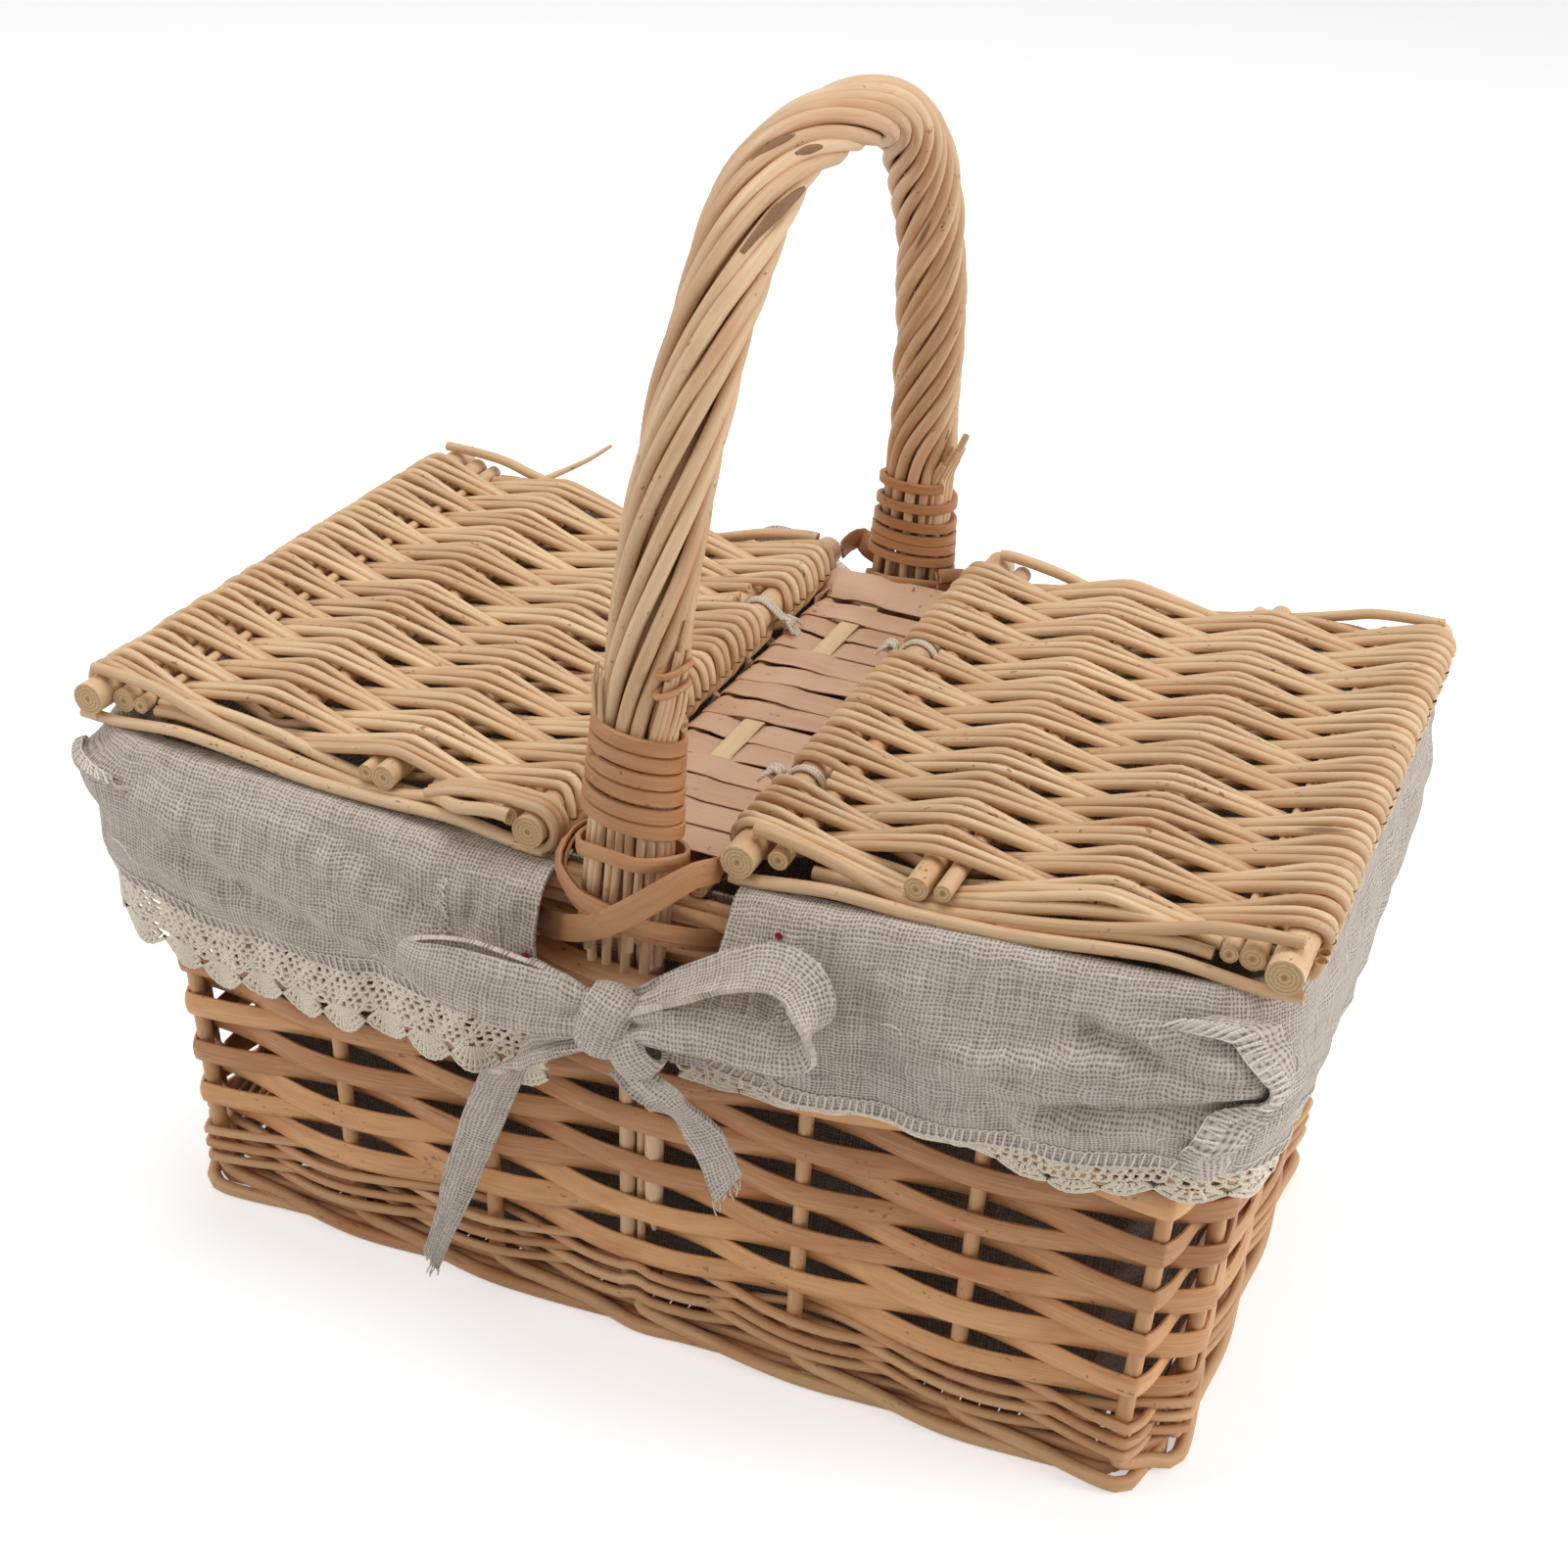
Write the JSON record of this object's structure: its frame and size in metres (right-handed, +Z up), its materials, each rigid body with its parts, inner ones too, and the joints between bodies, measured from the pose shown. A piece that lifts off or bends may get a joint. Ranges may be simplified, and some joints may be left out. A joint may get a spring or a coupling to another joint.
{
  "type": "picnic basket",
  "caption": "Willow picnic basket with two hinged lids either side of a fixed twisted handle, and a linen liner folded over the rim with lace and bows.",
  "frame": {"origin": "middle of the underside of the base, on the surface that the basket stands on", "axes": "+Z up, +X along the length to the right seen from the front, the front faces -Y"},
  "size_m": [0.4326, 0.321, 0.409],
  "materials": {
    "willow": "satin",
    "split_willow": "satin",
    "skein": "satin",
    "linen": "matte",
    "lace": "matte",
    "string": "matte"
  },
  "bodies": {
    "basket": {"back_bow": "linen", "back_leg_binding": "skein", "back_leg_lashing": "skein", "back_stakes": "willow", "base_panel": "split_willow", "bottom_wale_1": "willow", "bottom_wale_2": "willow", "bottom_wale_3": "willow", "bridge_left_rod": "willow", "bridge_right_rod": "willow", "bridge_slat": "willow", "bridge_weave": "skein", "foot_border": "willow", "front_bow": "linen", "front_leg_binding": "skein", "front_leg_lashing": "skein", "front_stakes": "willow", "handle": "willow", "left_cuff": "linen", "left_hinge_tie_back": "string", "left_hinge_tie_front": "string", "left_lace": "lace", "left_stakes": "willow", "liner_bag": "linen", "right_cuff": "linen", "right_hinge_tie_back": "string", "right_hinge_tie_front": "string", "right_lace": "lace", "right_stakes": "willow", "siding_row_01": "split_willow", "siding_row_02": "split_willow", "siding_row_03": "split_willow", "siding_row_04": "split_willow", "siding_row_05": "split_willow", "siding_row_06": "split_willow", "siding_row_07": "split_willow", "siding_row_08": "split_willow", "siding_row_09": "split_willow", "siding_row_10": "split_willow", "siding_row_11": "split_willow", "siding_row_12": "split_willow", "siding_row_13": "split_willow", "siding_row_14": "split_willow", "siding_row_15": "split_willow", "top_border": "willow"},
    "left_lid": {"left_lid_back_rod": "willow", "left_lid_far_stick": "willow", "left_lid_front_rod": "willow", "left_lid_hinge_stick": "willow", "left_lid_mat": "willow", "left_lid_near_stick": "willow", "left_lid_outer_stick": "willow"},
    "right_lid": {"right_lid_back_rod": "willow", "right_lid_far_stick": "willow", "right_lid_front_rod": "willow", "right_lid_hinge_stick": "willow", "right_lid_mat": "willow", "right_lid_near_stick": "willow", "right_lid_outer_stick": "willow"}
  },
  "joints": [
    {"name": "left_lid_hinge", "type": "hinge", "parent": "basket", "child": "left_lid", "pos_m": [-0.0353, 0, 0.2], "axis": [0, 1, 0], "range_deg": [0, 92]},
    {"name": "right_lid_hinge", "type": "hinge", "parent": "basket", "child": "right_lid", "pos_m": [0.0353, 0, 0.209], "axis": [0, -1, 0], "range_deg": [0, 90.8]}
  ]
}
